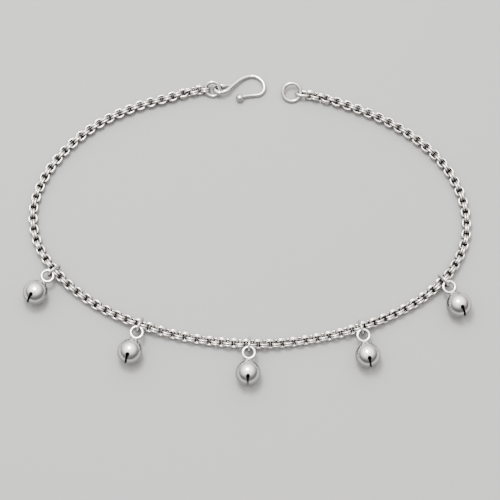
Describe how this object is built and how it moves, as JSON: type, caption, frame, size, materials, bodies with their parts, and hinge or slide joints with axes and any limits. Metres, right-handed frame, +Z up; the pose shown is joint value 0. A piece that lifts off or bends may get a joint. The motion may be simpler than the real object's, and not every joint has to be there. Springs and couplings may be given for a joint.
{
  "type": "waist chain",
  "caption": "Silver waist chain of paired oval links with round bells on jump rings and a wire hook and ring clasp, laid open on a flat surface.",
  "frame": {"origin": "on the surface that the chain lies on, under the middle of its bounding box", "axes": "+X from the hook's end to the clasp ring's end, -Y towards the bells, +Z up from the surface"},
  "size_m": [0.312, 0.2294, 0.0175],
  "materials": {
    "chain_silver": "polished silver, a little darker between the links",
    "wire_silver": "polished silver wire",
    "bell_silver": "mirror polished silver"
  },
  "bodies": {
    "root": {"chain": "chain_silver", "hook_side_link_1": "chain_silver", "hook_side_link_2": "chain_silver", "clasp_side_link_1": "chain_silver", "clasp_side_link_2": "chain_silver", "hook_ring": "wire_silver", "hook": "wire_silver", "end_link": "wire_silver", "clasp_ring": "wire_silver", "bell_1": "bell_silver", "bell_2": "bell_silver", "bell_3": "bell_silver", "bell_4": "bell_silver", "bell_5": "bell_silver", "bell_ring_1": "wire_silver", "bell_ring_2": "wire_silver", "bell_ring_3": "wire_silver", "bell_ring_4": "wire_silver", "bell_ring_5": "wire_silver"}
  },
  "joints": []
}
